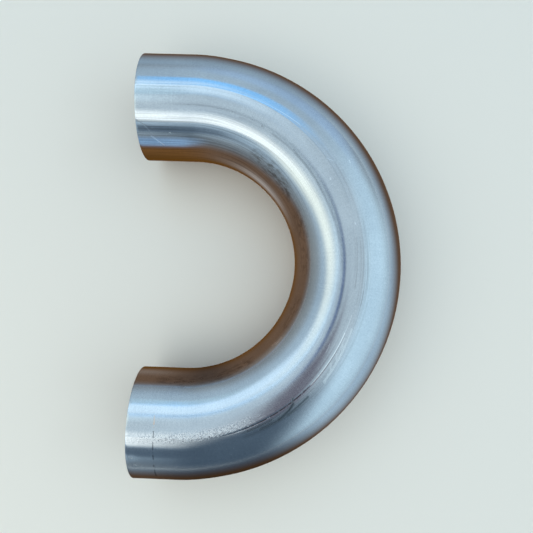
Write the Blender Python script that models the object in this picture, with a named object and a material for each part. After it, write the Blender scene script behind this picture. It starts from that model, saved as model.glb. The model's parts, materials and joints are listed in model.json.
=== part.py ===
"""Return bend: one length of welded stainless steel tube, drawn round a half circle.

The bend lies flat, as it comes to rest. Its two ends are parallel and point to -X, the
long leg on the +Y side and the short leg on the -Y side. The origin is on the ground,
under the middle of the bend's length and of its width.
"""

import math

import bmesh
import bpy
from mathutils import Vector

# Driving sizes of the tube, in metres
OUTSIDE_DIAMETER = 0.0762
WALL = 0.00165

# Driving sizes of the bend, in metres
BEND_RADIUS = 0.1143       # from the bend's centre to the tube's centreline
LONG_LEG = 0.0365          # straight tube past the bend, at the +Y end
SHORT_LEG = 0.0305         # straight tube past the bend, at the -Y end
DRAWN_IN = 0.0005          # how far the outer side is pulled in by the stretching of its wall
EASE_LENGTH = 0.024        # length of centreline over which a round leg takes on the bent section
EDGE_BREAK = 0.0003        # deburring of the four edges of the cut ends

# Driving sizes of the tube's own weld seam, in metres
SEAM_SHIFT = 0.0020        # from the crest of the tube to the seam, towards the outside
SEAM_WIDTH = 0.0030
SEAM_RIDGE = 0.0001        # rise of the ground seam above the outside
SEAM_BEAD = 0.0003         # rise of the rolled seam above the bore

# Faces along and around the tube
BEND_STEPS = 36            # an even number, so that a ring stands at the very end of the bend
QUARTER_STEPS = 13         # faces in each quarter of the section
BREAK_STEPS = 2            # faces across each broken edge

# Sizes that follow from the ones above
RADIUS = OUTSIDE_DIAMETER / 2
REACH = BEND_RADIUS + RADIUS - DRAWN_IN
CENTRE_X = (max(LONG_LEG, SHORT_LEG) - REACH) / 2

# Finish of the tube: bare stainless steel, brushed round the tube
STEEL_COLOUR = (0.57, 0.60, 0.63, 1.0)
STEEL_ROUGHNESS = 0.32
SHARP_ANGLE = math.radians(30)


def clear_scene():
    """Remove every object that is already in the scene."""
    for thing in list(bpy.data.objects):
        bpy.data.objects.remove(thing, do_unlink=True)


def centreline():
    """List the turn about the bend's centre and the run out along a leg of each ring.

    The turn goes from the short leg, at minus a quarter circle, to the long leg, at plus a
    quarter circle. The run is nothing anywhere in the bend.
    """
    quarter = math.pi / 2
    turns = [quarter * (2 * step / BEND_STEPS - 1) for step in range(BEND_STEPS + 1)]
    bend = [(turn, 0.0) for turn in turns]
    return [(-quarter, SHORT_LEG)] + bend + [(quarter, LONG_LEG)]


def section_angles():
    """List the angles round the section, from the top of the tube towards the outside.

    Corners of the list fall on the foot of the seam, the outermost side, the underside and
    the innermost side. The far foot and then the crest of the seam close the round.
    """
    crest = SEAM_SHIFT / RADIUS
    half_seam = SEAM_WIDTH / 2 / RADIUS
    quarter = math.pi / 2
    corners = [crest + half_seam, quarter, 2 * quarter, 3 * quarter, 4 * quarter + crest - half_seam]
    angles = []
    for start, stop in zip(corners, corners[1:]):
        step = (stop - start) / QUARTER_STEPS
        angles += [start + step * count for count in range(QUARTER_STEPS)]
    return angles + [corners[-1], 4 * quarter + crest]


def bent_share(turn):
    """Share of the full bent section, rising smoothly from 0 at a leg to 1 in the bend."""
    length = (math.pi / 2 - abs(turn)) * BEND_RADIUS
    share = min(length / EASE_LENGTH, 1.0)
    return share * share * (3 - 2 * share)


def outside_radius(angle, share):
    """Radius of the outside. Its outer half is drawn in, most at the outermost side."""
    return RADIUS - share * DRAWN_IN * max(math.sin(angle), 0.0)


def wall_thickness(angle, share):
    """Thickness of the wall: thinned where it was stretched and thickened where squeezed.

    The metal keeps its volume, and half of the change in length goes into the thickness.
    """
    middle = RADIUS - WALL / 2
    stretch = 1 + share * middle * math.sin(angle) / BEND_RADIUS
    return WALL / math.sqrt(stretch)


def skin_radii(share, inner):
    """Radii of the outside or of the bore, one for each angle of the section."""
    radii = []
    for angle in section_angles():
        radius = outside_radius(angle, share)
        if inner:
            radius -= wall_thickness(angle, share)
        radii.append(radius)
    radii[-1] += -SEAM_BEAD if inner else SEAM_RIDGE
    return radii


def ring_points(turn, run, radii):
    """Points of one ring, square to the centreline, about the bend's own centre."""
    outward = Vector((math.cos(turn), math.sin(turn), 0.0))
    along_leg = Vector((-1.0, 0.0, 0.0))
    upward = Vector((0.0, 0.0, 1.0))
    middle = outward * BEND_RADIUS + along_leg * run
    points = []
    for angle, radius in zip(section_angles(), radii):
        points.append(middle + outward * radius * math.sin(angle) + upward * radius * math.cos(angle))
    return points


def add_loop(mesh, points):
    """Add one closed loop of edges and return its edges."""
    corners = [mesh.verts.new(point) for point in points]
    pairs = zip(corners, corners[1:] + corners[:1])
    return [mesh.edges.new(pair) for pair in pairs]


def add_skin(mesh, inner):
    """Carry the section along the centreline and return the loops at its two ends."""
    loops = []
    for turn, run in centreline():
        radii = skin_radii(bent_share(turn), inner)
        loops.append(add_loop(mesh, ring_points(turn, run, radii)))
    for first, second in zip(loops, loops[1:]):
        bmesh.ops.bridge_loops(mesh, edges=first + second)
    return [loops[0], loops[-1]]


def close_ends(mesh, outer_ends, inner_ends):
    """Close the wall with a square cut face at each end, then break the four edges."""
    for outer, inner in zip(outer_ends, inner_ends):
        for far, near in zip(outer, inner):
            mesh.faces.new((far.verts[0], far.verts[1], near.verts[1], near.verts[0]))
    bmesh.ops.recalc_face_normals(mesh, faces=mesh.faces)
    rims = [edge for loops in (outer_ends, inner_ends) for loop in loops for edge in loop]
    bmesh.ops.bevel(
        mesh,
        geom=rims,
        offset=EDGE_BREAK,
        offset_type="OFFSET",
        segments=BREAK_STEPS,
        profile=0.5,
        affect="EDGES",
    )


def steel_material():
    """Bare stainless steel, with a fine grain from brushing."""
    material = bpy.data.materials.new("brushed_stainless_steel")
    material.use_nodes = True
    shader = material.node_tree.nodes["Principled BSDF"]
    shader.inputs["Base Color"].default_value = STEEL_COLOUR
    shader.inputs["Metallic"].default_value = 1.0
    shader.inputs["Roughness"].default_value = STEEL_ROUGHNESS
    return material


def make_return_bend():
    """Make the tube as one closed solid and lay it on the ground."""
    shape = bmesh.new()
    outer_ends = add_skin(shape, inner=False)
    inner_ends = add_skin(shape, inner=True)
    close_ends(shape, outer_ends, inner_ends)
    mesh = bpy.data.meshes.new("return_bend")
    shape.to_mesh(mesh)
    shape.free()
    mesh.shade_smooth()
    mesh.set_sharp_from_angle(angle=SHARP_ANGLE)
    mesh.materials.append(steel_material())
    bend = bpy.data.objects.new("return_bend", mesh)
    bend.location = (CENTRE_X, 0.0, RADIUS)
    bpy.context.scene.collection.objects.link(bend)
    return bend


clear_scene()
make_return_bend()
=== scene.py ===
"""Return bend: the finish of a welded stainless steel tube that was bent through a half circle.

The tube is one piece. It is worked out as a straight tube first, with its weld, its brushing
and its marks, and then bent, so that every pattern follows the metal round the bend.
"""

import json
import math

import bpy
import numpy as np
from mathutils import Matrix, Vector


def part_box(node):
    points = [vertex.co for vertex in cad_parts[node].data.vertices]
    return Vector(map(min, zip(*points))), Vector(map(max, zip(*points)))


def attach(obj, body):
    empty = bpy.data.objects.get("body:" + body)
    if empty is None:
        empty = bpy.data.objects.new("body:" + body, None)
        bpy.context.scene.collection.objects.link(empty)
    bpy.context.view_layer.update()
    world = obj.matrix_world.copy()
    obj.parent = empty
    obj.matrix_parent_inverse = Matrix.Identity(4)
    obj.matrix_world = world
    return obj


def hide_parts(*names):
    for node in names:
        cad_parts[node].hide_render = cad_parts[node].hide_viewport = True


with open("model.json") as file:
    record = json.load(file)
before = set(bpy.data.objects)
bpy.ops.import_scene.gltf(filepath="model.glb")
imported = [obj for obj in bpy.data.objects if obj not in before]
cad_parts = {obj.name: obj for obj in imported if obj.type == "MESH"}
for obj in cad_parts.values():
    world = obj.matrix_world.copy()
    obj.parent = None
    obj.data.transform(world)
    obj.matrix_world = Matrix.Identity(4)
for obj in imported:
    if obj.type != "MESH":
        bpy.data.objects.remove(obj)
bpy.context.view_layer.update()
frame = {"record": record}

bl_info = {
    "name": "Return bend",
    "version": (1, 0, 0),
    "blender": (4, 5, 0),
    "location": "View3D > Sidebar > Return bend",
    "description": "Makes a brushed stainless steel return bend and a plain studio for it",
    "category": "Object",
}

# Units, in metres
MM = 0.001
MICRON = 0.000001

# The tube's place and sizes, in metres, read from the frame where it holds them
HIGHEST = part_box("return_bend")[1]
MOUNTS = {mount["name"]: mount["pos_m"] for mount in frame["record"]["mounts"]}
RADIUS = MOUNTS["long_leg_end"][2]
BEND_RADIUS = HIGHEST.y - RADIUS
DRAWN_IN = 0.0005          # how far bending pulls the outer side in
CENTRE_X = HIGHEST.x - BEND_RADIUS - RADIUS + DRAWN_IN
CENTRE = (CENTRE_X, 0.0, RADIUS)
LONG_LEG = CENTRE_X - MOUNTS["long_leg_end"][0]
SHORT_LEG = CENTRE_X - MOUNTS["short_leg_end"][0]
WALL = 0.00165
EASE_LENGTH = 0.024        # centreline over which a round leg takes on the bent section
EDGE_BREAK = 0.0003        # deburring of the edges of the cut ends
BEND_LENGTH = math.pi * BEND_RADIUS
LENGTH = SHORT_LEG + BEND_LENGTH + LONG_LEG

# The weld seam and the fine relief of the outside, in metres
SEAM_SHIFT = 0.0020        # from the top of the tube to the seam, towards the outside of the bend
SEAM_WIDTH = 0.0030
SEAM_BEAD = 0.0003         # rise of the rolled seam above the bore
SEAM_FOOT = 0.00004        # depth of the grinding beside the seam
TOE_DEPTH = 0.00010        # depth of the fine groove at the outer toe of the seam
TOE_HALF_WIDTH = 0.00035
TOE_WANDER = 0.00012       # how far it wanders from the true line
WAVINESS = 0.000008        # depth of the slow waves along the whole tube
RIPPLE = 0.000002          # depth of the shorter ones where it was bent

# The camera, from the bend's centre, in metres, radians and millimetres of lens
CAMERA_PLACE = (0.06335, -0.026869, 0.370699)
CAMERA_TURN = (0.0702513, 0.01805096, 0.03408749)
CAMERA_LENS = 34.52

# The two low flags beside the tube, in metres
FLAG_OVERRUN = 0.08        # past each end of the tube
FLAG_FOOT = 0.025          # from the tube's side in to the flag's foot, under the tube
FLAG_SPREAD = 0.043        # from its foot out to its upper edge
FLAG_HEIGHT = 0.060        # up to which it covers fully
FLAG_RAISE = 0.010         # how much higher that is outside the long leg

# Strength above which a glowing sheet lights the floor too
BRIGHT_SHEET = 1.2

# Places of two finishes, in millimetres
RING_PLACE = 19.2          # the ring that a clamp left, from the short end, with its drift
TOE_PLACE = 3.45           # the dark scale in the toe of the seam, from the top of the tube

# Marks on the steel, and the highlights, glints and dark reflection painted on it as marks. Each
# runs from one place to another, and a place is its distance along the tube from the short end
# and its distance round it from the top, in millimetres. Then come its width in millimetres and
# its strength.
PALE_MARKS_AND_PAINTED_HIGHLIGHTS = [
    ((421.8, -23.3), (414.0, -32.5), 0.5, 0.3),
    ((416.7, -32.5), (408.7, -39.8), 0.7, 0.9),
    ((133.9, 3.4), (134.6, 6.1), 0.5, 0.5),
    ((133.5, 8.8), (146.0, 8.1), 1.2, 0.9),
    ((146.0, 8.1), (158.0, 7.2), 1.3, 1.0),
    ((158.0, 7.2), (169.0, 6.8), 1.1, 0.7),
    ((139.5, 8.5), (144.5, 5.4), 1.1, 0.8),
    ((147.0, 8.0), (151.5, 5.0), 1.1, 0.8),
    ((154.0, 7.5), (158.5, 5.2), 1.0, 0.7),
    ((133.0, 10.0), (138.5, 7.6), 1.0, 0.6),
    ((150.0, 6.2), (162.0, 4.6), 1.0, 0.5),
    ((148.7, -1.3), (154.5, -2.1), 0.5, 0.3),
    ((283.1, 2.7), (278.8, 5.9), 0.5, 0.3),
    # From here to the end of the table the rows are painted highlights: glints of small dents and nicks,
    # laid on as pale colour.
    ((274.6, -11.4), (275.4, -11.2), 0.7, 0.5),
    ((269.7, -2.6), (270.6, -2.2), 0.7, 0.5),
    ((273.7, 15.7), (275.2, 15.9), 0.7, 0.8),
    ((402.8, -29.8), (403.6, -29.6), 0.8, 0.9),
    ((236.0, 2.6), (237.0, 2.6), 0.7, 0.7),
    ((2.8, 16.0), (4.4, 16.6), 1.2, 0.9),
    ((5.8, 22.2), (6.8, 22.8), 1.1, 0.6),
    ((126.2, -35.7), (131.0, -35.0), 1.5, 0.5),
    ((130.0, -34.0), (137.3, -34.2), 1.3, 0.6),
]
DARK_MARKS_AND_PAINTED_REFLECTION = [
    ((86.0, 7.6), (98.0, 8.2), 1.6, 0.7),
    ((98.0, 8.2), (106.0, 6.9), 1.9, 0.95),
    ((106.0, 6.9), (110.5, 5.2), 1.9, 1.0),
    ((110.5, 5.2), (112.5, 1.9), 1.3, 0.8),
    ((104.0, 8.8), (120.0, 8.0), 1.6, 0.8),
    ((78.0, 5.4), (94.0, 6.0), 1.3, 0.6),
    ((332.0, -10.8), (330.6, -10.9), 0.9, 0.5),
    ((319.2, -11.4), (317.4, -11.5), 0.8, 0.5),
    ((302.7, -10.1), (300.9, -10.2), 0.8, 0.5),
    ((425.8, -21.0), (416.0, -27.0), 0.7, 0.35),
    # These six rows are a painted dark reflection: a line just inside the top of the bend that fades in and
    # out.
    ((205.0, -8.2), (228.0, -9.2), 1.6, 0.15),
    ((226.0, -9.1), (244.0, -10.2), 1.7, 0.28),
    ((242.0, -10.1), (262.0, -10.9), 1.8, 0.42),
    ((262.0, -10.9), (300.0, -11.0), 1.8, 0.5),
    ((300.0, -11.0), (322.0, -11.5), 1.6, 0.35),
    ((322.0, -11.5), (350.0, -12.0), 1.4, 0.18),
]
# Painted highlights: thin near-white glints along the side of the seam, laid on as colour.
PAINTED_SEAM_GLINTS = [
    ((126.5, 3.6), (142.0, 3.3), 0.7, 1.0),
    ((142.0, 3.3), (165.0, 3.2), 0.6, 0.9),
    ((165.0, 3.2), (177.0, 3.3), 0.5, 0.35),
    ((310.7, 4.6), (330.0, 3.6), 0.5, 0.45),
    ((330.0, 3.6), (361.0, 2.4), 0.5, 0.3),
]
SMUDGES = [
    ((279.0, -36.5), (290.0, -32.0), 9.0, 0.95),
    ((290.0, -34.0), (308.0, -31.0), 9.0, 1.0),
    ((303.0, -35.0), (326.0, -31.0), 8.0, 0.8),
    ((232.0, -38.0), (256.0, -36.0), 9.0, 0.75),
    ((203.0, -39.0), (224.0, -38.0), 8.0, 0.65),
    ((148.0, -39.0), (174.0, -38.0), 8.0, 0.5),
    ((20.0, -38.0), (98.0, -38.0), 9.0, 0.7),
]
RUBBED = [
    ((186.0, 7.0), (236.0, 9.0), 5.0, 1.0),
    ((196.0, 1.5), (226.0, 3.0), 4.0, 0.6),
    ((76.0, 6.8), (124.0, 7.6), 4.5, 1.0),
    ((120.0, 8.8), (186.0, 9.0), 5.0, 0.6),
    ((236.0, 6.0), (300.0, 3.0), 6.0, 0.4),
    ((330.0, 1.0), (410.0, -1.0), 7.0, 0.25),
]
# Dents: place along and round and size, in millimetres, and depth, in metres
DENTS = [
    ((3.4, 16.2), 2.6, 0.00012),
    ((6.4, 22.6), 2.2, 0.00008),
    ((274.0, 15.8), 2.0, 0.00004),
]

# Settings of the nodes that are used most
TIMES = {"operation": "MULTIPLY"}
PLUS = {"operation": "ADD"}
MINUS = {"operation": "SUBTRACT"}
SCALED_PLUS = {"operation": "MULTIPLY_ADD"}
UNSIGNED = {"operation": "ABSOLUTE"}
SMOOTH = {"interpolation_type": "SMOOTHSTEP"}
COLOURS = {"data_type": "RGBA"}


def linear(code):
    """Turn a six-digit sRGB hex colour into linear red, green and blue, and a full alpha."""
    shares = [int(code[place:place + 2], 16) / 255 for place in (1, 3, 5)]
    light = [share / 12.92 if share <= 0.04045 else ((share + 0.055) / 1.055) ** 2.4 for share in shares]
    return light + [1.0]


def smooth_step(value, low, high):
    """Rise from 0 at low to 1 at high on the curve 3t^2 - 2t^3."""
    share = np.clip((value - low) / (high - low), 0.0, 1.0)
    return share * share * (3 - 2 * share)


def hump(value, middle, reach):
    """A smooth hump, exp(-x^2), with x the distance from its middle over its reach."""
    return np.exp(-((value - middle) / reach) ** 2)


def add(tree, kind, settings=None, **inputs):
    """Add a node: settings are its own properties, inputs are its sockets' values or links.

    A socket's name is written with _ for a space, and in_0 stands for the first socket. A
    node given as an input is linked by its first output.
    """
    node = tree.nodes.new(kind)
    for name, value in (settings or {}).items():
        setattr(node, name, value)
    for name, value in inputs.items():
        key = int(name[3:]) if name.startswith("in_") else name.replace("_", " ")
        source = value.outputs[0] if isinstance(value, bpy.types.Node) else value
        if isinstance(source, bpy.types.NodeSocket):
            tree.links.new(source, node.inputs[key])
        else:
            node.inputs[key].default_value = source
    return node


# Shape of the tube


def bent_share(along):
    """Share of the full bent section at each distance along the tube's centreline.

    It is 0 in the legs and rises on a smooth step over the first EASE_LENGTH of the bend.
    """
    into_bend = np.minimum(along - SHORT_LEG, SHORT_LEG + BEND_LENGTH - along)
    return smooth_step(into_bend, 0.0, EASE_LENGTH)


def outside_radius(share, angle):
    """Radius less the drawn-in distance times the sine of the angle, on the outer half only."""
    return RADIUS - share * DRAWN_IN * np.maximum(np.sin(angle), 0.0)


def wall_thickness(share, angle):
    """Wall over the square root of the stretch, which is 1 plus the middle radius times the
    sine of the angle over the bend radius."""
    stretch = 1 + share * (RADIUS - WALL / 2) * np.sin(angle) / BEND_RADIUS
    return WALL / np.sqrt(stretch)


def waves(place, length, seed, count=24):
    """Smooth random relief of about -1 to 1: the sum of plane waves in random directions.

    place is an array of points, length the wave's length along each axis, in the same unit.
    A random direction is 1.6 long on average, which the factor of 0.6 about undoes.
    """
    draw = np.random.default_rng(seed)
    turns = draw.normal(size=(count, 3)) / np.asarray(length)
    starts = draw.uniform(0, 2 * math.pi, count)
    total = np.zeros(place.shape[:-1])
    for turn, start in zip(turns, starts):
        total += np.cos(2 * math.pi * (place @ turn) * 0.6 + start)
    return total / math.sqrt(count)


def straight_place(along, angle, radius):
    """Point on the tube before it was bent: along it, across it and up, in millimetres."""
    ring = radius / MM
    return np.stack([along / MM, ring * np.sin(angle), ring * np.cos(angle)], axis=-1)


def toe_line(along):
    """Distance round the tube of the seam's outer toe: its edge, which wanders in slow waves."""
    wander = 0.7 * np.sin(along / 0.022 + 0.8) + 0.3 * np.sin(along / 0.009)
    return SEAM_SHIFT + SEAM_WIDTH / 2 + TOE_WANDER * wander


def outside_relief(along, angle):
    """Depth of all that is cut into the true tube's outside, in metres.

    It is the sum of the ground sides of the weld, which is flat on top and falls away evenly,
    slow waves, shorter waves in the bend, the groove at the weld's outer toe, and the dents,
    which are humps 1.2 times as long as wide.
    """
    place = straight_place(along, angle, RADIUS)
    round_tube = angle * RADIUS / MM
    from_seam = np.abs(round_tube - SEAM_SHIFT / MM) / (SEAM_WIDTH / MM / 2)
    foot = SEAM_FOOT * smooth_step(from_seam, 0.1, 1.0) * (1 - smooth_step(from_seam, 1.0, 4.0))
    depth = foot + WAVINESS * (1 + waves(place, (70, 30, 30), seed=3) / 2)
    depth += RIPPLE * bent_share(along) * (1 + waves(place, (22, 14, 14), seed=5) / 2)
    open_toe = smooth_step(along, 0.060, 0.080) * (1 - smooth_step(along, 0.150, 0.190))
    depth += TOE_DEPTH * open_toe * hump(angle * RADIUS, toe_line(along), TOE_HALF_WIDTH)
    for (at_along, at_round), size, deep in DENTS:
        gap = np.hypot(place[..., 0] - at_along, (round_tube - at_round) * 1.2)
        depth += deep * hump(gap, 0, size)
    return depth


def profile_rows(settings):
    """The closed line that the tube's wall makes when it is cut along its length.

    It runs out along the outside from the short end, round the long end's two broken edges,
    back along the bore and round the short end. Each row has its distance along the tube,
    its depth as a share of the wall, and an inset in metres.
    """
    quarter = np.linspace(0, math.pi / 2, settings.edge_steps + 1)
    outer = np.linspace(EDGE_BREAK, LENGTH - EDGE_BREAK, settings.outside_rows)
    inner = np.linspace(LENGTH - EDGE_BREAK, EDGE_BREAK, settings.bore_rows)
    face = np.linspace(0, 1, settings.face_rows + 2)[1:-1]
    over = EDGE_BREAK * (1 - np.sin(quarter))
    under = EDGE_BREAK * (1 - np.cos(quarter))
    rows = [
        (outer, 0 * outer, 0 * outer),
        (LENGTH - over[1:], 0 * over[1:], under[1:]),
        (LENGTH + 0 * face, face, EDGE_BREAK * (1 - 2 * face)),
        (LENGTH - over[:0:-1], 1 + 0 * over[1:], -under[:0:-1]),
        (inner, 1 + 0 * inner, 0 * inner),
        (over[1:], 1 + 0 * over[1:], -under[1:]),
        (0 * face, 1 - face, -EDGE_BREAK * (1 - 2 * face)),
        (over[:0:-1], 0 * over[1:], under[:0:-1]),
    ]
    return [np.concatenate(column) for column in zip(*rows)]


def section_angles(settings):
    """Angles round the section from the top towards the outside, closer over the weld."""
    near = settings.weld_half_angle
    fine = np.linspace(-near, near, settings.weld_columns, endpoint=False)
    coarse = np.linspace(near, 2 * math.pi - near, settings.plain_columns, endpoint=False)
    return np.concatenate([fine, coarse])


def bend(along, angle, radius):
    """Carry points of the straight tube round the bend.

    The turn is the distance past the short leg over the bend radius, less a quarter circle,
    and what is left over at either end runs straight out towards -X.
    """
    past = along - SHORT_LEG
    turn = np.clip(past / BEND_RADIUS, 0, math.pi) - math.pi / 2
    run = np.maximum(-past, 0) + np.maximum(past - BEND_LENGTH, 0)
    reach = BEND_RADIUS + radius * np.sin(angle)
    x = CENTRE_X + reach * np.cos(turn) - run
    y = reach * np.sin(turn)
    z = RADIUS + radius * np.cos(angle)
    return np.stack([x, y, z], axis=-1)


def grid_faces(rows, columns):
    """Quads of a grid that closes on itself both ways, with faces outward."""
    row = np.arange(rows)[:, None]
    column = np.arange(columns)[None, :]
    next_row = (row + 1) % rows
    next_column = (column + 1) % columns
    corners = [
        row * columns + column,
        row * columns + next_column,
        next_row * columns + next_column,
        next_row * columns + column,
    ]
    return np.stack(np.broadcast_arrays(*corners), axis=-1).reshape(-1, 4)


def mesh_from(name, points, faces):
    """Make a smooth-shaded mesh from an array of points and an array of quads."""
    mesh = bpy.data.meshes.new(name)
    mesh.vertices.add(len(points))
    mesh.vertices.foreach_set("co", points.astype(np.float32).ravel())
    mesh.loops.add(faces.size)
    mesh.loops.foreach_set("vertex_index", faces.astype(np.int32).ravel())
    mesh.polygons.add(len(faces))
    mesh.polygons.foreach_set("loop_start", np.arange(0, faces.size, 4, dtype=np.int32))
    mesh.update(calc_edges=True)
    mesh.validate()
    mesh.shade_smooth()
    return mesh


def place_object(mesh):
    """Link a new object for the mesh, at the origin."""
    piece = bpy.data.objects.new(mesh.name, mesh)
    bpy.context.scene.collection.objects.link(piece)
    return piece


def tube_mesh(settings):
    """The whole wall of the tube as one closed surface of rows along it and columns round it.

    radius = outside radius - relief - depth * wall - inset, carried round the bend.
    """
    along, depth, inset = [row[:, None] for row in profile_rows(settings)]
    angle = section_angles(settings)[None, :]
    along, angle = np.broadcast_arrays(along, angle)
    share = bent_share(along)
    outside = outside_radius(share, angle) - outside_relief(along, angle) * (depth < 1)
    wall = wall_thickness(share, angle)
    bead = SEAM_BEAD * np.clip(1 - np.abs(angle * RADIUS - SEAM_SHIFT) / (SEAM_WIDTH / 2), 0, 1)
    radius = outside - depth * (wall + bead) - inset
    points = bend(along, angle, radius)
    mesh = mesh_from("steel_tube", points.reshape(-1, 3), grid_faces(*along.shape))
    write_patterns(mesh, along, angle, radius)
    write_slots(mesh, settings)
    return mesh


def write_patterns(mesh, along, angle, radius):
    """Keep each point's place on the straight tube, and lay a map along and round it."""
    place = straight_place(along, angle, radius)
    attribute = mesh.attributes.new("straight_tube", "FLOAT_VECTOR", "POINT")
    attribute.data.foreach_set("vector", place.astype(np.float32).ravel())
    rows, columns = along.shape
    row = np.repeat(np.arange(rows), columns)
    column = np.tile(np.arange(columns), rows)
    across = np.append(angle[0], angle[0, 0] + 2 * math.pi) / (2 * math.pi)
    lengthways = along[:, 0] / LENGTH
    next_row = (row + 1) % rows
    u = np.stack([lengthways[row], lengthways[row], lengthways[next_row], lengthways[next_row]], 1)
    v = np.stack([across[column], across[column + 1], across[column + 1], across[column]], 1)
    skin = mesh.uv_layers.new(name="tube_skin")
    skin.uv.foreach_set("vector", np.stack([u, v], -1).astype(np.float32).ravel())


def write_slots(mesh, settings):
    """Give the outside, the cut ends and the bore a material slot each."""
    columns = settings.weld_columns + settings.plain_columns
    outside = settings.outside_rows - 1
    end = 2 * settings.edge_steps + settings.face_rows + 1
    bore = settings.bore_rows - 1
    slots = np.concatenate([np.full(outside, 0), np.full(end, 1), np.full(bore, 2), np.full(end, 1)])
    mesh.polygons.foreach_set("material_index", np.repeat(slots, columns).astype(np.int32))


# Materials


def place_on_tube(tree):
    """The place on the straight tube, and the distances along it and round it, all in mm.

    The distance round it is the angle from the top towards the outside times the radius.
    """
    place = add(tree, "ShaderNodeAttribute", {"attribute_name": "straight_tube"}).outputs["Vector"]
    parts = add(tree, "ShaderNodeSeparateXYZ", Vector=place)
    angle = add(tree, "ShaderNodeMath", {"operation": "ARCTAN2"}, in_0=parts.outputs["Y"],
                in_1=parts.outputs["Z"])
    round_tube = add(tree, "ShaderNodeMath", TIMES, in_0=angle, in_1=RADIUS / MM)
    return place, parts.outputs["X"], round_tube.outputs[0]


def tube_grain(tree, place, size_along, size_round, detail=2.0):
    """Random grain on the straight tube, of one size along it and another round it, in mm."""
    scale = (1 / size_along, 1 / size_round, 1 / size_round)
    spread = add(tree, "ShaderNodeVectorMath", TIMES, in_0=place, in_1=scale)
    return add(tree, "ShaderNodeTexNoise", Vector=spread, Scale=1.0, Detail=detail)


def mark_group():
    """Node group of one mark: full on the line from its start to its end, and soft beside it.

    The nearest point of the line is start + t * (end - start), with t the share of the way
    at which the place lies, kept within 0 and 1. The group gives the stronger of the mark
    and of what was there before it.
    """
    tree = bpy.data.node_groups.new("mark", "ShaderNodeTree")
    for name in ("Place", "Start", "End"):
        tree.interface.new_socket(name, in_out="INPUT", socket_type="NodeSocketVector")
    for name in ("Width", "Strength", "Before"):
        tree.interface.new_socket(name, in_out="INPUT", socket_type="NodeSocketFloat")
    tree.interface.new_socket("Cover", in_out="OUTPUT", socket_type="NodeSocketFloat")
    given = add(tree, "NodeGroupInput").outputs
    way = add(tree, "ShaderNodeVectorMath", MINUS, in_0=given["End"], in_1=given["Start"])
    gone = add(tree, "ShaderNodeVectorMath", MINUS, in_0=given["Place"], in_1=given["Start"])
    along = add(tree, "ShaderNodeVectorMath", {"operation": "DOT_PRODUCT"}, in_0=gone, in_1=way)
    whole = add(tree, "ShaderNodeVectorMath", {"operation": "DOT_PRODUCT"}, in_0=way, in_1=way)
    share = add(tree, "ShaderNodeMath", {"operation": "DIVIDE", "use_clamp": True},
                in_0=along.outputs["Value"], in_1=whole.outputs["Value"])
    nearest = add(tree, "ShaderNodeVectorMath", {"operation": "SCALE"}, in_0=way, Scale=share)
    gap = add(tree, "ShaderNodeVectorMath", {"operation": "DISTANCE"}, in_0=gone, in_1=nearest)
    inside = add(tree, "ShaderNodeMapRange", SMOOTH, Value=gap.outputs["Value"], From_Min=given["Width"],
                 From_Max=0.0, To_Max=given["Strength"])
    stronger = add(tree, "ShaderNodeMath", {"operation": "MAXIMUM"}, in_0=given["Before"], in_1=inside)
    add(tree, "NodeGroupOutput", Cover=stronger)
    return tree


def marks(tree, flat, table):
    """The strongest of a table of marks at each place."""
    group = bpy.data.node_groups.get("mark") or mark_group()
    cover = 0.0
    for start, end, width, strength in table:
        cover = add(tree, "ShaderNodeGroup", {"node_tree": group}, Place=flat, Start=(*start, 0),
                    End=(*end, 0), Width=width, Strength=strength, Before=cover)
    return cover


def ragged_weld(tree, place, along, round_tube):
    """Covers of the ragged belt of weld along the short leg: its bright and its dark specks.

    The belt lies between two edges that noise makes uneven, and thins out into the bend. The
    bright specks crowd towards its outer edge, and the dark ones lie in between and along it.
    The bright specks are raised and rough, and their near-white colour is a painted glint.
    """
    ragged = tube_grain(tree, place, 2.2, 1.2, 5.0)
    uneven = add(tree, "ShaderNodeMath", SCALED_PLUS, in_0=ragged, in_1=4.0, in_2=-2.0)
    shifted = add(tree, "ShaderNodeMath", PLUS, in_0=round_tube, in_1=uneven)
    edge = add(tree, "ShaderNodeMapRange", Value=along, From_Min=10.0, From_Max=96.0, To_Min=5.2,
               To_Max=1.6)
    below = add(tree, "ShaderNodeMath", MINUS, in_0=edge, in_1=shifted)
    outer = add(tree, "ShaderNodeMapRange", SMOOTH, Value=below, From_Min=-0.2, From_Max=0.3)
    inner = add(tree, "ShaderNodeMapRange", SMOOTH, Value=below, From_Min=8.5, From_Max=2.6)
    fading = add(tree, "ShaderNodeMath", SCALED_PLUS, in_0=ragged, in_1=50.0, in_2=along)
    kept = add(tree, "ShaderNodeMapRange", SMOOTH, Value=fading, From_Min=122.0, From_Max=84.0)
    begun = add(tree, "ShaderNodeMapRange", SMOOTH, Value=along, From_Max=26.0, To_Min=0.3)
    kept = add(tree, "ShaderNodeMath", TIMES, in_0=kept, in_1=begun)
    dots = tube_grain(tree, place, 0.8, 0.6)
    bright = add(tree, "ShaderNodeMapRange", SMOOTH, Value=dots, From_Min=0.44, From_Max=0.6)
    for part in (outer, inner, kept):
        bright = add(tree, "ShaderNodeMath", TIMES, in_0=bright, in_1=part)
    hollow = add(tree, "ShaderNodeMapRange", SMOOTH, Value=dots, From_Min=0.47, From_Max=0.38)
    beside = add(tree, "ShaderNodeMapRange", SMOOTH, Value=below, From_Min=-1.2, From_Max=-0.3)
    beyond = add(tree, "ShaderNodeMapRange", SMOOTH, Value=below, From_Min=8.0, From_Max=1.0)
    for part in (beside, beyond, kept):
        hollow = add(tree, "ShaderNodeMath", TIMES, in_0=hollow, in_1=part)
    return bright, hollow


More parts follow.
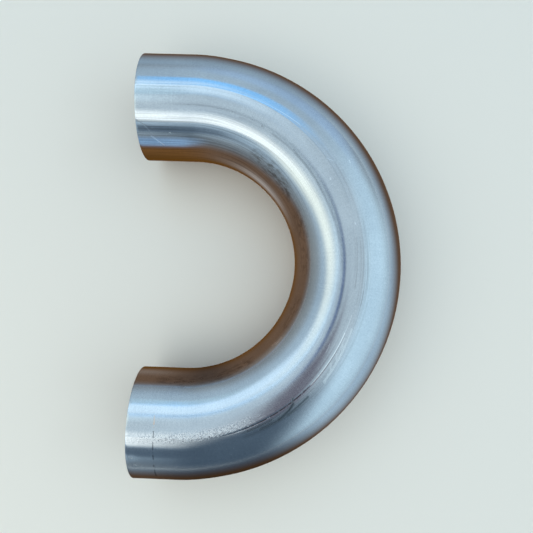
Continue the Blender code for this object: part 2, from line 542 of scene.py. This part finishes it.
def clamp_ring(tree, place, along, round_tube):
    """Covers of the broken ring that a clamp left round the short leg, near its end.

    The metal is rubbed bright on the inner half and stained dark on the outer one.
    """
    drift = tube_grain(tree, place, 30.0, 12.0)
    moved = add(tree, "ShaderNodeMath", SCALED_PLUS, in_0=drift, in_1=2.0, in_2=along)
    away = add(tree, "ShaderNodeMath", MINUS, in_0=moved, in_1=RING_PLACE)
    away = add(tree, "ShaderNodeMath", UNSIGNED, in_0=away)
    dashes = tube_grain(tree, place, 30.0, 2.2, 1.0)
    line = add(tree, "ShaderNodeMapRange", SMOOTH, Value=away, From_Min=0.65, From_Max=0.15)
    broken = add(tree, "ShaderNodeMapRange", SMOOTH, Value=dashes, From_Min=0.45, From_Max=0.56)
    start = add(tree, "ShaderNodeMapRange", SMOOTH, Value=round_tube, From_Min=-20.0, From_Max=-4.0)
    end = add(tree, "ShaderNodeMapRange", SMOOTH, Value=round_tube, From_Min=40.0, From_Max=34.0)
    for part in (broken, start, end):
        line = add(tree, "ShaderNodeMath", TIMES, in_0=line, in_1=part)
    side = add(tree, "ShaderNodeMapRange", SMOOTH, Value=round_tube, From_Min=-7.0, From_Max=-1.0)
    dark = add(tree, "ShaderNodeMath", TIMES, in_0=line, in_1=side)
    bright = add(tree, "ShaderNodeMath", MINUS, in_0=line, in_1=dark)
    return bright, dark


def seam_dashes(tree, place, along, round_tube):
    """Cover of the dark scale left in dashes in the toe of the weld, where the bend starts."""
    away = add(tree, "ShaderNodeMath", MINUS, in_0=round_tube, in_1=TOE_PLACE)
    away = add(tree, "ShaderNodeMath", UNSIGNED, in_0=away)
    dashes = tube_grain(tree, place, 2.4, 30.0)
    line = add(tree, "ShaderNodeMapRange", SMOOTH, Value=away, From_Min=0.6, From_Max=0.15)
    broken = add(tree, "ShaderNodeMapRange", SMOOTH, Value=dashes, From_Min=0.36, From_Max=0.5)
    start = add(tree, "ShaderNodeMapRange", SMOOTH, Value=along, From_Min=56.0, From_Max=86.0)
    end = add(tree, "ShaderNodeMapRange", SMOOTH, Value=along, From_Min=127.0, From_Max=121.0)
    for part in (broken, start, end):
        line = add(tree, "ShaderNodeMath", TIMES, in_0=line, in_1=part)
    return line


def empty_material(name):
    """Make an empty material and return it with its node tree."""
    material = bpy.data.materials.new(name)
    material.use_nodes = True
    material.node_tree.nodes.clear()
    return material, material.node_tree


def steel_marks_and_painted_light(tree, place, along, round_tube):
    """Covers of the marks on the brushed steel and of the light painted on it, each under its name.

    The pale and dark marks lie on a map that is slightly shaken, so that none of them is quite straight.
    """
    flat = add(tree, "ShaderNodeCombineXYZ", X=along, Y=round_tube, Z=0.0)
    wander = add(tree, "ShaderNodeTexNoise", Vector=flat, Scale=0.15, Detail=1.0)
    shaken = add(tree, "ShaderNodeVectorMath", SCALED_PLUS, in_0=wander.outputs["Color"],
                 in_1=(0.5, 0.5, 0.0), in_2=flat)
    wear_and_painted_light = {}
    # The weld's bright specks are real relief, and their near-white colour is a painted glint.
    wear_and_painted_light["bright_specks"], wear_and_painted_light["dark_specks"] = ragged_weld(tree, place, along, round_tube)
    wear_and_painted_light["bright_ring"], wear_and_painted_light["dark_ring"] = clamp_ring(tree, place, along, round_tube)
    wear_and_painted_light["seam"] = seam_dashes(tree, place, along, round_tube)
    # The bright lines along the seam are painted highlights.
    wear_and_painted_light["seam_line"] = marks(tree, flat, PAINTED_SEAM_GLINTS)
    # The pale marks are pale scratches, and painted highlights of dents and nicks.
    wear_and_painted_light["pale"] = marks(tree, shaken, PALE_MARKS_AND_PAINTED_HIGHLIGHTS)
    # The dark marks are dark marks in the steel, and a painted dark reflection along the bend.
    wear_and_painted_light["dark"] = marks(tree, shaken, DARK_MARKS_AND_PAINTED_REFLECTION)

    # The grease of handling lies in patches.
    patches = tube_grain(tree, place, 6.0, 1.8, 4.0)
    patchy = add(tree, "ShaderNodeMapRange", SMOOTH, Value=patches, From_Min=0.4, From_Max=0.66)
    wear_and_painted_light["smudge"] = add(tree, "ShaderNodeMath", TIMES, in_0=marks(tree, flat, SMUDGES), in_1=patchy)

    # The die drags the steel lengthways on the inside of the bend, most where it was drawn last.
    inner_side = add(tree, "ShaderNodeMapRange", SMOOTH, Value=round_tube, From_Min=-8.0, From_Max=-24.0)
    drawn_last = add(tree, "ShaderNodeMapRange", SMOOTH, Value=along, From_Min=210.0, From_Max=340.0)
    drag = add(tree, "ShaderNodeMath", TIMES, in_0=drawn_last, in_1=inner_side)
    rubbed = add(tree, "ShaderNodeMath", {"operation": "MAXIMUM"}, in_0=drag, in_1=marks(tree, flat, RUBBED))
    drawn = tube_grain(tree, place, 60.0, 0.9)
    lines = add(tree, "ShaderNodeMapRange", SMOOTH, Value=drawn, From_Min=0.54, From_Max=0.36)
    wear_and_painted_light["streaks"] = add(tree, "ShaderNodeMath", TIMES, in_0=lines, in_1=rubbed)
    return wear_and_painted_light


def brushed_steel(settings):
    """Austenitic stainless steel, cold rolled, welded, and brushed round the tube with a belt.

    The brushing stretches each reflection along the tube and leaves faint hairlines round it.
    The weld, the scratches and the grease of handling break that sheen, and painted highlights,
    glints and a painted dark reflection lie on it as colour.
    """
    material, tree = empty_material("brushed_stainless_steel")
    place, along, round_tube = place_on_tube(tree)
    wear_and_painted_light = steel_marks_and_painted_light(tree, place, along, round_tube)

    # Belt lines are about 0.1 mm apart, drawn here at 0.7 mm so that they show.
    hairlines = tube_grain(tree, place, 0.7, 14.0)
    coarse_lines = tube_grain(tree, place, 2.4, 40.0)
    grain = tube_grain(tree, place, 0.9, 0.9, 3.0)
    clouds = tube_grain(tree, place, 34.0, 16.0, 3.0)

    # Roughness
    rough = add(tree, "ShaderNodeMapRange", Value=hairlines, To_Min=settings.roughness - 0.015,
                To_Max=settings.roughness + 0.015)
    for pattern, gain, lift in ((grain, 0.04, -0.02), (clouds, 0.04, -0.02),
                                (wear_and_painted_light["bright_specks"], 0.25, 0.0), (wear_and_painted_light["dark_specks"], 0.2, 0.0),
                                (wear_and_painted_light["smudge"], 0.16, 0.0), (wear_and_painted_light["pale"], 0.3, 0.0),
                                (wear_and_painted_light["dark"], 0.2, 0.0)):
        part = add(tree, "ShaderNodeMath", SCALED_PLUS, in_0=pattern, in_1=gain, in_2=lift)
        rough = add(tree, "ShaderNodeMath", PLUS, in_0=rough, in_1=part)

    # Relief, in thousandths of a millimetre
    relief = add(tree, "ShaderNodeMath", TIMES, in_0=grain, in_1=settings.grain_depth)
    for pattern, height in ((hairlines, settings.line_depth), (coarse_lines, 0.25),
                            (wear_and_painted_light["streaks"], -0.5), (wear_and_painted_light["seam"], -14.0),
                            (wear_and_painted_light["bright_specks"], 12.0)):
        relief = add(tree, "ShaderNodeMath", SCALED_PLUS, in_0=pattern, in_1=height, in_2=relief)
    bump = add(tree, "ShaderNodeBump", Height=relief, Strength=1.0, Distance=MICRON)

    # Colour
    tone = add(tree, "ShaderNodeMath", PLUS, in_0=grain, in_1=clouds)
    tone = add(tree, "ShaderNodeMath", SCALED_PLUS, in_0=hairlines, in_1=0.35, in_2=tone)
    shade = add(tree, "ShaderNodeMapRange", Value=tone, From_Min=0.8, From_Max=1.55)
    colour = add(tree, "ShaderNodeMix", COLOURS, in_0=shade, in_6=settings.dull_steel,
                 in_7=settings.bright_steel)
    # Painted light among these colours: glints on the weld's specks and along the seam, highlights of dents
    # among the pale marks, and a dark reflection among the dark marks.
    for name, code, share in (("streaks", "#868A8C", 0.5), ("smudge", "#6E675F", 0.7),
                              ("dark_specks", "#5E5A66", 0.6), ("bright_specks", "#F4F6F7", 0.7),
                              ("pale", "#F6F9FA", 0.9), ("dark", "#363F47", 0.85),
                              ("seam_line", "#FCFCFA", 0.9), ("bright_ring", "#E3C0A0", 0.7),
                              ("dark_ring", "#3F444C", 0.6), ("seam", "#54383A", 0.85)):
        amount = add(tree, "ShaderNodeMath", TIMES, in_0=wear_and_painted_light[name], in_1=share)
        colour = add(tree, "ShaderNodeMix", COLOURS, in_0=amount, in_6=colour.outputs[2], in_7=linear(code))
    lengthways = add(tree, "ShaderNodeTangent", {"direction_type": "UV_MAP", "uv_map": "tube_skin"})
    shader = add(tree, "ShaderNodeBsdfPrincipled", Base_Color=colour.outputs[2], Metallic=1.0,
                 Roughness=rough, Normal=bump, Tangent=lengthways, Anisotropic=0.8)
    add(tree, "ShaderNodeOutputMaterial", Surface=shader)
    return material


def cut_steel():
    """Stainless steel sawn square and deburred by hand, which leaves bright, uneven lines."""
    material, tree = empty_material("sawn_stainless_steel")
    place = add(tree, "ShaderNodeAttribute", {"attribute_name": "straight_tube"}).outputs["Vector"]
    # Saw lines run straight across the whole cut, about 0.3 mm apart.
    spread = add(tree, "ShaderNodeVectorMath", TIMES, in_0=place, in_1=(0.0, 3.0, 0.05))
    lines = add(tree, "ShaderNodeTexNoise", Vector=spread, Scale=1.0, Detail=2.0)
    chatter = tube_grain(tree, place, 0.4, 0.6)
    relief = add(tree, "ShaderNodeMath", PLUS, in_0=lines, in_1=chatter)
    bump = add(tree, "ShaderNodeBump", Height=relief, Strength=1.0, Distance=6 * MICRON)
    rough = add(tree, "ShaderNodeMapRange", Value=lines, To_Min=0.24, To_Max=0.42)
    colour = add(tree, "ShaderNodeMix", COLOURS, in_0=chatter, in_6=linear("#B9BFC4"),
                 in_7=linear("#DDE1E3"))
    shader = add(tree, "ShaderNodeBsdfPrincipled", Base_Color=colour.outputs[2], Metallic=1.0,
                 Roughness=rough, Normal=bump)
    add(tree, "ShaderNodeOutputMaterial", Surface=shader)
    return material


def bore_steel():
    """Stainless steel as rolled, with the fine lengthways lines that the mandrel draws in it.

    It keeps a thin film of drawing grease, which dulls it and warms it in patches, and a band
    of straw and blue heat tint along the weld.
    """
    material, tree = empty_material("mandrel_drawn_stainless_steel")
    place, along, round_tube = place_on_tube(tree)
    lines = tube_grain(tree, place, 60.0, 0.7, 3.0)
    film = tube_grain(tree, place, 22.0, 9.0, 4.0)
    away = add(tree, "ShaderNodeMath", MINUS, in_0=round_tube, in_1=SEAM_SHIFT / MM)
    away = add(tree, "ShaderNodeMath", UNSIGNED, in_0=away)
    tint = add(tree, "ShaderNodeMapRange", SMOOTH, Value=away, From_Min=5.0, From_Max=1.6, To_Max=0.7)
    bead = add(tree, "ShaderNodeMapRange", SMOOTH, Value=away, From_Min=1.6, From_Max=1.0, To_Max=0.6)
    rough = add(tree, "ShaderNodeMapRange", Value=film, From_Min=0.3, From_Max=0.7, To_Min=0.3, To_Max=0.5)
    bump = add(tree, "ShaderNodeBump", Height=lines, Strength=1.0, Distance=7 * MICRON)
    colour = add(tree, "ShaderNodeMix", COLOURS, in_0=film, in_6=linear("#9FA2A4"),
                 in_7=linear("#BDBBB6"))
    for cover, code in ((tint, "#A9906A"), (bead, "#8E949C")):
        colour = add(tree, "ShaderNodeMix", COLOURS, in_0=cover, in_6=colour.outputs[2], in_7=linear(code))
    shader = add(tree, "ShaderNodeBsdfPrincipled", Base_Color=colour.outputs[2], Metallic=1.0,
                 Roughness=rough, Normal=bump)
    add(tree, "ShaderNodeOutputMaterial", Surface=shader)
    return material


# Studio


def open_faces(rows, columns):
    """Quads of an open grid."""
    row = np.arange(rows - 1)[:, None]
    column = np.arange(columns - 1)[None, :]
    first = row * columns + column
    return np.stack([first, first + columns, first + columns + 1, first + 1], axis=-1).reshape(-1, 4)


def glowing_sheet(name, points, cover, colours, strength):
    """Make a sheet that glows in the steel as much as it covers, unseen by the camera itself.

    colours is one linear colour, or an array with one for each point. Only the bright sheets
    light the floor.
    """
    mesh = mesh_from(name, points.reshape(-1, 3), open_faces(*points.shape[:2]))
    colours = np.broadcast_to(colours, (*points.shape[:2], 4))
    for kind, sort, field, values in (("cover", "FLOAT", "value", cover),
                                      ("glow", "FLOAT_COLOR", "color", colours)):
        attribute = mesh.attributes.new(kind, sort, "POINT")
        attribute.data.foreach_set(field, values.astype(np.float32).ravel())
    material, tree = empty_material(name)
    share = add(tree, "ShaderNodeAttribute", {"attribute_name": "cover"})
    glow = add(tree, "ShaderNodeAttribute", {"attribute_name": "glow"})
    clear = add(tree, "ShaderNodeBsdfTransparent")
    light = add(tree, "ShaderNodeEmission", Color=glow.outputs["Color"], Strength=strength)
    mixed = add(tree, "ShaderNodeMixShader", in_0=share.outputs["Fac"], in_1=clear, in_2=light)
    add(tree, "ShaderNodeOutputMaterial", Surface=mixed)
    mesh.materials.append(material)
    sheet = place_object(mesh)
    sheet.visible_camera = False
    sheet.visible_shadow = False
    sheet.visible_diffuse = strength > BRIGHT_SHEET


def soft_board(name, azimuth, polar, distance, roll, size, soft, colour, strength=1.0, cover=1.0):
    """A board that glows in the steel, with soft edges, and that the camera doesn't see itself.

    Its middle lies at a distance from the bend's centre, at an azimuth from +X towards +Y and
    a polar angle from straight up, in degrees, and it faces the centre. It is turned in its
    own plane by roll. size is its half width and half height in metres, and soft gives the
    shares of them that fade at its left, right, lower and upper edges.
    """
    line = np.linspace(-1, 1, 41)
    across, up = np.meshgrid(line, line, indexing="ij")
    turn, tilt, spin = np.radians((azimuth, polar, roll))
    facing = np.array((math.sin(tilt) * math.cos(turn), math.sin(tilt) * math.sin(turn), math.cos(tilt)))
    level = np.array((-math.sin(turn), math.cos(turn), 0))
    steep = np.cross(facing, level)
    level, steep = (level * math.cos(spin) + steep * math.sin(spin),
                    steep * math.cos(spin) - level * math.sin(spin))
    middle = np.array(CENTRE) + facing * distance
    points = middle + level * (across * size[0])[..., None] + steep * (up * size[1])[..., None]
    edges = [smooth_step(reach, 0, fade) for reach, fade in
             zip((1 + across, 1 - across, 1 + up, 1 - up), soft)]
    glowing_sheet(name, points, cover * np.prod(edges, axis=0), linear(colour), strength)


def blend(first, second, share):
    """Linear colours between two others, which are hex or linear: the second where share is 1."""
    first, second = [np.array(linear(colour) if isinstance(colour, str) else colour)
                     for colour in (first, second)]
    share = share[..., None]
    return first * (1 - share) + second * share


def low_flag(name, side, height, fading, colours):
    """A low board beside the tube that curves up from the floor and follows the bend.

    side is 1 on the outside of the bend and -1 on the inside. The board is a quarter of an
    ellipse that starts just above the floor, under the tube. It gives the tube's sides the
    dark, warm reflection that sets them off. Above its full cover it fades out over the
    height that fading gives, and it is raised outside the long leg, where the camera would
    see the floor over it. colours works out a colour for each distance along the tube and
    each height.
    """
    along = np.linspace(-FLAG_OVERRUN, LENGTH + FLAG_OVERRUN, 160)[:, None]
    rising = np.linspace(0, math.pi / 2, 33)[None, :]
    along, rising = np.broadcast_arrays(along, rising)
    middle = np.full(along.shape, side * math.pi / 2)
    points = bend(along, middle, RADIUS - FLAG_FOOT + FLAG_SPREAD * np.sin(rising))
    points[..., 2] = MM + height * (1 - np.cos(rising))
    full = FLAG_HEIGHT + FLAG_RAISE * max(side, 0) * smooth_step(along, 0.28, 0.37)
    cover = 1 - smooth_step(points[..., 2], full, full + fading)
    glowing_sheet(name, points, cover, colours(along, points[..., 2]), 1.0)


def outer_colours(along, height):
    """Brown at the foot and blue-grey at the top, by metres along the tube and up.

    Both are darkest along the short leg, and the top is palest from there to the crown.
    """
    end = 0.3 * hump(along, 0.0, 0.022)
    pale = end + smooth_step(along, 0.072, 0.125) * (1 - 0.35 * smooth_step(along, 0.24, 0.35))
    turning = 0.060 - 0.014 * hump(along, 0.145, 0.055) - 0.002 * smooth_step(along, 0.25, 0.30)
    upper = blend("#5A6B7C", "#C8E2F4", pale)
    lower = blend("#4A3522", "#6A5240", smooth_step(along, 0.07, 0.13) + 2 * end)
    return blend(lower, upper, smooth_step(height, turning - 0.018, turning + 0.013))


def inner_colours(along, height):
    """Orange-brown at the foot, brown above it and grey at the edge, by metres along and up.

    A pale streak lies past the crown, and a faint one at the short end. By the long end it is
    orange-brown further up, under a pale blue edge.
    """
    dark = hump(along, 0.05, 0.03)
    upper = blend("#80644F", "#5C4C42", dark)
    upper = blend(upper, "#8C5E2C", 0.8 * smooth_step(along, 0.365, 0.405))
    lower = blend("#704A1E", "#50361C", dark)
    colours = blend(lower, upper, smooth_step(height, 0.018, 0.042))
    cool = smooth_step(along, 0.380, 0.402)
    edge = blend(blend("#8C979E", "#A8A49E", hump(along, 0.12, 0.05)), "#A2C6EA", cool)
    fading = 0.053 - 0.004 * hump(along, 0.115, 0.035) - 0.008 * smooth_step(along, 0.26, 0.31)
    share = smooth_step(height, fading + 0.001 * cool, fading + 0.019 - 0.011 * cool)
    colours = blend(colours, edge, share)
    streak = hump(along, 0.312, 0.038) * hump(height, 0.031, 0.0065)
    pale = 0.85 * np.maximum(streak, 0.3 * hump(along, 0.0, 0.02) * hump(height, 0.035, 0.006))
    return blend(colours, "#CFC4BB", pale)


def shadow_ribbon():
    """A dark ribbon about level with the camera, crisp on its inner edge and soft on the outer.

    Its inner edge runs through a short list of places, smoothed with a running mean, and the
    last figure of each is the width there, all in millimetres. It gives the steel its one
    dark line.
    """
    height = 0.36
    places = np.array((
        (26, -95, 60), (13, -53, 60), (7, -30, 58), (9, -10, 56),
        (14, 12, 50), (4, 31, 36), (-20, 38, 24), (-60, 34, 14),
    )) * MM
    steps = np.linspace(-0.6, len(places) - 0.4, 120)
    course = [np.interp(steps, np.arange(len(places)), column) for column in places.T]
    running_mean = np.ones(13) / 13
    x, y, width = [np.convolve(column, running_mean, "valid") for column in course]
    ahead = np.stack([np.gradient(x), np.gradient(y)], axis=1)
    ahead /= np.linalg.norm(ahead, axis=1, keepdims=True)
    across = np.linspace(0, 1, 21)[None, :]
    out = width[:, None] * across
    sideways = [x[:, None] + ahead[:, 1:] * out, y[:, None] - ahead[:, :1] * out]
    points = np.stack([*sideways, height + 0 * out], axis=-1) + CENTRE
    t = np.linspace(0, 1, len(x))[:, None]
    cover = smooth_step(across, 0, 0.14) * (1 - smooth_step(across, 0.6, 1.0))
    cover = cover * smooth_step(t, 0, 0.12) * (1 - smooth_step(t, 0.9, 1.0))
    share, tip = np.broadcast_arrays(smooth_step(across, 0.35, 0.85), smooth_step(t, 0.6, 0.8))
    colours = blend(blend("#2F5698", "#4E5A76", share), "#3C4A54", tip)
    glowing_sheet("shadow_ribbon", points, cover, colours, 1.0)


def make_world(settings):
    """Plain pale light from all round, palest overhead and greyer towards the horizon."""
    world = bpy.data.worlds.new("pale_studio")
    bpy.context.scene.world = world
    world.use_nodes = True
    tree = world.node_tree
    tree.nodes.clear()
    facing = add(tree, "ShaderNodeTexCoord")
    height = add(tree, "ShaderNodeSeparateXYZ", Vector=facing.outputs["Generated"])
    overhead = add(tree, "ShaderNodeMapRange", SMOOTH, Value=height.outputs["Z"], From_Min=0.55)
    horizon = add(tree, "ShaderNodeMapRange", SMOOTH, Value=height.outputs["Z"], From_Min=0.47,
                  From_Max=0.0)
    upper = add(tree, "ShaderNodeMix", COLOURS, in_0=overhead, in_6=settings.side_colour,
                in_7=settings.zenith_colour)
    mixed = add(tree, "ShaderNodeMix", COLOURS, in_0=horizon, in_6=upper.outputs[2],
                in_7=settings.horizon_colour)
    sky = add(tree, "ShaderNodeBackground", Color=mixed.outputs[2], Strength=settings.sky_strength)
    add(tree, "ShaderNodeOutputWorld", Surface=sky)


def make_floor(settings):
    """Wide plain floor at the height that the tube rests on."""
    half = settings.floor_size / 2
    line = np.linspace(-half, half, 2)
    x, y = np.meshgrid(line, line, indexing="ij")
    points = np.stack([x, y, 0 * x], axis=-1)
    mesh = mesh_from("floor", points.reshape(-1, 3), open_faces(2, 2))
    material, tree = empty_material("painted_board")
    shader = add(tree, "ShaderNodeBsdfPrincipled", Base_Color=settings.floor_colour, Roughness=0.8)
    add(tree, "ShaderNodeOutputMaterial", Surface=shader)
    mesh.materials.append(material)
    place_object(mesh)


def make_lights():
    """Soft boards round the tube: cards near the camera, boards farther off, and low flags.

    A board's line gives its azimuth, polar angle, distance, roll, half width and height, soft
    shares, colour, strength and cover.
    """
    shadow_ribbon()
    soft_board("mauve_card", -53.7, 26.1, 0.335, -19.1, (0.067, 0.109), (0.26, 0.7, 0.14, 0.29), "#706A7A")
    soft_board("small_white_card", -109, 16, 0.33, 20, (0.028, 0.13), (0.75, 0.95, 0.15, 0.3),
               "#DFF3FF", 1.15, 0.9)
    soft_board("dark_card", -78, 61, 0.315, -14, (0.2, 0.21), (0.75, 0.7, 0.5, 0.6), "#566879")
    soft_board("slate_card", 251, 58, 0.54, 0, (0.15, 0.1), (0.5, 0.3, 0.4, 0.5), "#53667A", 1.0, 0.85)
    soft_board("sky_card", 117.3, 38.3, 0.3, -21.5, (0.055, 0.036), (0.4, 0.6, 0.3, 0.35),
               "#CFEEFC", 1.1, 0.9)
    soft_board("pale_strip", 156, 25.7, 0.8, -7, (0.14, 0.192), (0.8, 0.8, 0.7, 0.8), "#D8F2FF", 1.5, 0.8)
    soft_board("blue_board", 86, 41, 1.2, -6, (0.5, 0.17), (0.95, 0.35, 0.15, 0.5), "#84C8FF", 1.6, 0.95)
    soft_board("white_key", 233.4, 33.3, 1.1, 18, (0.61, 0.28), (0.6, 0.4, 0.3, 1.0), "#F8FEFC", 1.85)
    soft_board("white_fill", 188, 41, 0.715, -38, (0.45, 0.175), (1.0, 0.7, 0.9, 0.7), "#F8FEF1", 1.7)
    soft_board("sky_board", 120, 35, 1.05, -26, (0.48, 0.25), (0.7, 0.4, 0.6, 0.6), "#D6EFFF", 1.7, 0.9)
    soft_board("blue_strip", 131, 23.4, 1.4, -18, (0.26, 0.16), (0.5, 0.6, 0.4, 0.9), "#B4DCFF", 1.55, 0.9)
    soft_board("blue_side", 70, 76, 1.4, 0, (0.9, 0.46), (0.5, 0.6, 0.5, 0.65), "#B6DAFF", 1.1, 0.6)
    soft_board("pale_side", -11, 75, 1.5, 27, (3.2, 1.5), (0.5, 0.9, 1.0, 0.55), "#D2F0FF", 1.44, 0.7)
    soft_board("grey_side", 171, 75, 1.6, 0, (1.3, 0.53), (0.7, 0.7, 0.3, 0.9), "#A2A6A3", 1.0, 0.5)
    low_flag("outer_flag", 1, 0.086, 0.0144, outer_colours)
    low_flag("inner_flag", -1, 0.070, 0.008, inner_colours)


def make_camera():
    """Camera at the place and angle from which the photograph was taken."""
    data = bpy.data.cameras.new("camera")
    data.sensor_width = 36.0
    data.lens = CAMERA_LENS
    data.clip_start = 0.01
    camera = bpy.data.objects.new("camera", data)
    bpy.context.scene.collection.objects.link(camera)
    camera.location = np.array(CENTRE) + CAMERA_PLACE
    camera.rotation_euler = CAMERA_TURN
    bpy.context.scene.camera = camera


# Settings, operators and panel


def count_setting(name, description, default):
    """A whole number that says how finely the surface is divided."""
    return bpy.props.IntProperty(name=name, description=description, default=default, min=1)


def colour_setting(name, description, code):
    """A colour with its hex default."""
    return bpy.props.FloatVectorProperty(name=name, description=description, default=linear(code),
                                         size=4, subtype="COLOR", min=0.0, max=1.0)


class TubeSettings(bpy.types.PropertyGroup):
    """How finely the tube's surface is divided, and its finish."""

    outside_rows: count_setting("Outside rows", "Rows of points along the outside", 300)
    bore_rows: count_setting("Bore rows", "Rows of points along the bore", 60)
    face_rows: count_setting("Face rows", "Rows of points across each cut face", 2)
    edge_steps: count_setting("Edge steps", "Faces across each broken edge", 3)
    weld_columns: count_setting("Weld columns", "Columns of points over the weld", 60)
    plain_columns: count_setting("Plain columns", "Columns of points round the rest", 180)
    weld_half_angle: bpy.props.FloatProperty(
        name="Weld half angle", description="Half of the angle that has fine columns",
        default=math.radians(10), subtype="ANGLE")
    roughness: bpy.props.FloatProperty(
        name="Roughness", description="Middle roughness of the brushed steel", default=0.17,
        min=0.0, max=1.0, subtype="FACTOR")
    grain_depth: bpy.props.FloatProperty(
        name="Grain depth", description="Depth of the grain, in thousandths of a millimetre", default=0.6)
    line_depth: bpy.props.FloatProperty(
        name="Line depth", description="Depth of the brushing, in thousandths of a millimetre",
        default=0.3)
    bright_steel: colour_setting("Bright steel", "Colour of the brightest steel", "#CED4D9")
    dull_steel: colour_setting("Dull steel", "Colour of the dullest steel", "#B6BDC4")


class StudioSettings(bpy.types.PropertyGroup):
    """Colours and sizes of the plain studio."""

    floor_size: bpy.props.FloatProperty(
        name="Floor size", description="Side of the square floor", default=12.0, unit="LENGTH")
    floor_colour: colour_setting("Floor colour", "Colour of the floor", "#F6E9DB")
    horizon_colour: colour_setting("Horizon colour", "Light from low down", "#98A0A4")
    side_colour: colour_setting("Side colour", "Light from the sides", "#C4DCEC")
    zenith_colour: colour_setting("Zenith colour", "Light from overhead", "#DAECF6")
    sky_strength: bpy.props.FloatProperty(
        name="Sky strength", description="Level of the light from all round", default=1.0, min=0.0)


class RETURNBEND_OT_tube(bpy.types.Operator):
    """Make the brushed stainless steel tube in place of the plain one"""

    bl_idname = "return_bend.tube"
    bl_label = "Make tube"

    def execute(self, context):
        settings = context.scene.return_bend_tube
        mesh = tube_mesh(settings)
        for material in (brushed_steel(settings), cut_steel(), bore_steel()):
            mesh.materials.append(material)
        tube = place_object(mesh)
        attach(tube, "root")
        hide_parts("return_bend")
        return {"FINISHED"}


class RETURNBEND_OT_studio(bpy.types.Operator):
    """Make the floor, the light and the camera"""

    bl_idname = "return_bend.studio"
    bl_label = "Make studio"

    def execute(self, context):
        settings = context.scene.return_bend_studio
        make_world(settings)
        make_floor(settings)
        make_lights()
        make_camera()
        context.scene.view_settings.view_transform = "Standard"
        return {"FINISHED"}


class RETURNBEND_PT_panel(bpy.types.Panel):
    """Lists the pieces that can be made."""

    bl_label = "Return bend"
    bl_space_type = "VIEW_3D"
    bl_region_type = "UI"
    bl_category = "Return bend"

    def draw(self, context):
        self.layout.operator(RETURNBEND_OT_tube.bl_idname)
        self.layout.operator(RETURNBEND_OT_studio.bl_idname)


CLASSES = (TubeSettings, StudioSettings, RETURNBEND_OT_tube, RETURNBEND_OT_studio, RETURNBEND_PT_panel)


def register():
    """Register the classes and hang the settings on the scene."""
    for item in CLASSES:
        bpy.utils.register_class(item)
    bpy.types.Scene.return_bend_tube = bpy.props.PointerProperty(type=TubeSettings)
    bpy.types.Scene.return_bend_studio = bpy.props.PointerProperty(type=StudioSettings)


def unregister():
    """Take the settings off the scene and unregister the classes."""
    del bpy.types.Scene.return_bend_studio
    del bpy.types.Scene.return_bend_tube
    for item in reversed(CLASSES):
        bpy.utils.unregister_class(item)


def main():
    """Register the classes and make every piece in order."""
    register()
    bpy.ops.return_bend.tube()
    bpy.ops.return_bend.studio()


if __name__ == "__main__":
    main()
